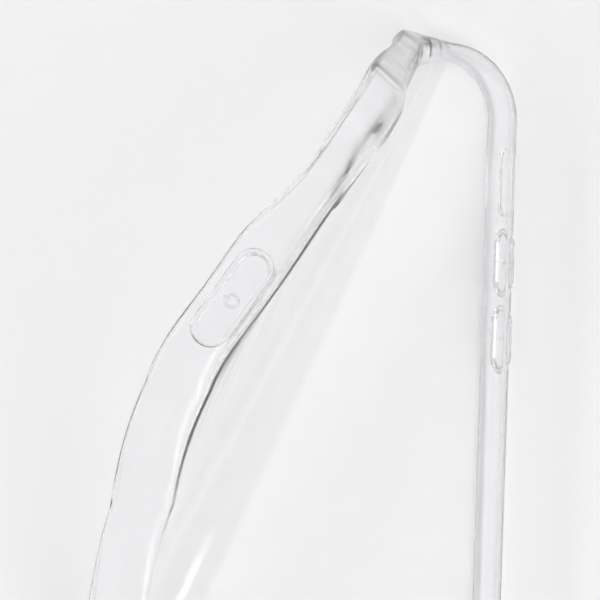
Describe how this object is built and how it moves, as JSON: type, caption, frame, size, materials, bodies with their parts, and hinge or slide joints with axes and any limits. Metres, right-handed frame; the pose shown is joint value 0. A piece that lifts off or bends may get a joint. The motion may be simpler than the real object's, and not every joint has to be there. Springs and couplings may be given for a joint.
{
  "type": "phone case",
  "caption": "Thin clear soft phone case with button covers, a figure-eight camera opening and its upper left corner peeled open.",
  "frame": {"origin": "middle of the inner face of the back, where the phone's back lies", "axes": "+X right and +Y towards the camera end as seen from behind, +Z out of the back; the case lies on its front lip"},
  "size_m": [0.0729, 0.1429, 0.0469],
  "materials": {
    "clear_back": "clear, glossy",
    "clear_wall": "clear, glossy, faintly milky",
    "rim": "clear, glossy",
    "cover": "clear, satin",
    "web": "clear, glossy",
    "mark": "clear, satin"
  },
  "bodies": {
    "held": {"back_panel": "clear_back", "right_wall": "clear_wall", "bottom_wall": "clear_wall", "lower_left_wall": "clear_wall", "top_right_corner": "clear_wall", "bottom_right_corner": "clear_wall", "bottom_left_corner": "clear_wall", "volume_up_web": "web", "volume_down_web": "web"},
    "flap_1": {"flap_1_panel": "clear_back", "flap_1_side_wall": "clear_wall", "flap_1_top_wall": "clear_wall"},
    "flap_2": {"flap_2_panel": "clear_back", "flap_2_side_wall": "clear_wall", "flap_2_top_wall": "clear_wall"},
    "flap_3": {"flap_3_panel": "clear_back", "flap_3_side_wall": "clear_wall", "flap_3_top_wall": "clear_wall"},
    "flap_4": {"flap_4_panel": "clear_back", "flap_4_side_wall": "clear_wall", "flap_4_top_wall": "clear_wall"},
    "flap_5": {"flap_5_panel": "clear_back", "flap_5_side_wall": "clear_wall", "flap_5_top_wall": "clear_wall", "camera_rim_ring": "rim", "power_cover_web": "web"},
    "flap_6": {"flap_6_corner": "clear_wall"},
    "power": {"power_cover": "cover", "power_mark": "mark"},
    "volume_up": {"volume_up_cover": "cover", "volume_up_mark": "mark"},
    "volume_down": {"volume_down_cover": "cover", "volume_down_mark": "mark"}
  },
  "joints": [
    {"name": "peel_1", "type": "hinge", "parent": "held", "child": "flap_1", "pos_m": [0.00297, 0.0283, 0.0004], "axis": [0.4147, 0.91, 0], "range_deg": [-14.5, 3.5]},
    {"name": "peel_2", "type": "hinge", "parent": "flap_1", "child": "flap_2", "pos_m": [-0.00022, 0.02986, 0.00132], "axis": [0.4602, 0.8877, -0.0131], "range_deg": [-15.5, 4.5]},
    {"name": "peel_3", "type": "hinge", "parent": "flap_2", "child": "flap_3", "pos_m": [-0.00346, 0.03172, 0.00339], "axis": [0.5066, 0.8611, -0.0427], "range_deg": [-15.5, 4.5]},
    {"name": "peel_4", "type": "hinge", "parent": "flap_3", "child": "flap_4", "pos_m": [-0.00972, 0.03677, 0.01087], "axis": [0.596, 0.7889, -0.1495], "range_deg": [-15.5, 4.5]},
    {"name": "peel_5", "type": "hinge", "parent": "flap_4", "child": "flap_5", "pos_m": [-0.01136, 0.03899, 0.0149], "axis": [0.6194, 0.7573, -0.2072], "range_deg": [-15.5, 4.5]},
    {"name": "peel_6", "type": "hinge", "parent": "flap_5", "child": "flap_6", "pos_m": [-0.01158, 0.05133, 0.0371], "axis": [0.6225, 0.5811, -0.5242], "range_deg": [-15.5, 4.5]},
    {"name": "power_press", "type": "slide", "parent": "flap_5", "child": "power", "axis": [0.5188, 0.2712, -0.8107], "range_m": [0, 0.0004], "stiffness_N_per_m": 2500},
    {"name": "volume_up_press", "type": "slide", "parent": "held", "child": "volume_up", "axis": [-1, 0, 0], "range_m": [0, 0.0004], "stiffness_N_per_m": 2500},
    {"name": "volume_down_press", "type": "slide", "parent": "held", "child": "volume_down", "axis": [-1, 0, 0], "range_m": [0, 0.0004], "stiffness_N_per_m": 2500}
  ],
  "couplings": [
    {"joint": "peel_2", "follows": "peel_1", "ratio": 1},
    {"joint": "peel_3", "follows": "peel_1", "ratio": 1},
    {"joint": "peel_4", "follows": "peel_1", "ratio": 1},
    {"joint": "peel_5", "follows": "peel_1", "ratio": 1},
    {"joint": "peel_6", "follows": "peel_1", "ratio": 1}
  ]
}
